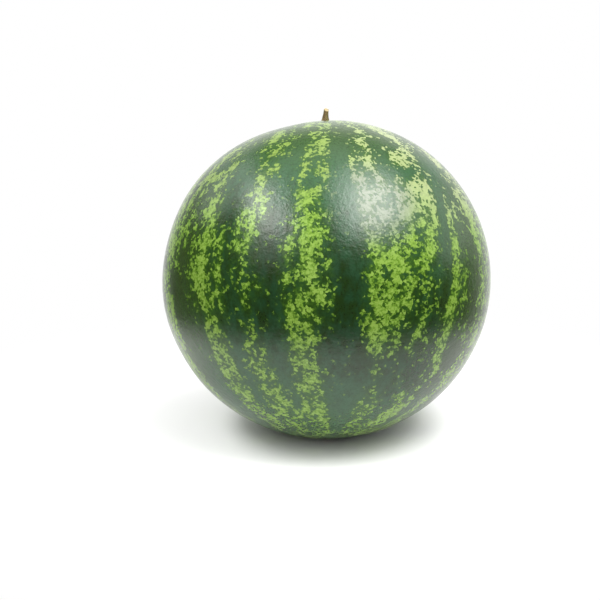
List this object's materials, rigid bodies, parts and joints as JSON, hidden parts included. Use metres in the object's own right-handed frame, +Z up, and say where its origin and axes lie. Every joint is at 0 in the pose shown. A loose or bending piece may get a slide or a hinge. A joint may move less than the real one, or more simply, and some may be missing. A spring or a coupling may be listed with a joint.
{
  "type": "watermelon",
  "caption": "Whole round striped watermelon with the dry stub of its stem, lying on a small flat spot.",
  "frame": {"origin": "Centre of the bounding box's lower face, on the surface that the melon rests on.", "axes": "+Z up from the flat spot. -Y is the front, the side seen. The stem end is up and leans 14 degrees back, towards +Y."},
  "size_m": [0.2494, 0.2496, 0.247],
  "materials": {
    "rind": "waxy rind: dark green bands between yellow-green marbled stripes, with a soft sheen and fine pores",
    "dry_stem": "dry brown fibrous stem with a pale cream cut end"
  },
  "bodies": {
    "root": {"fruit": "rind", "stem": "dry_stem"}
  },
  "joints": []
}
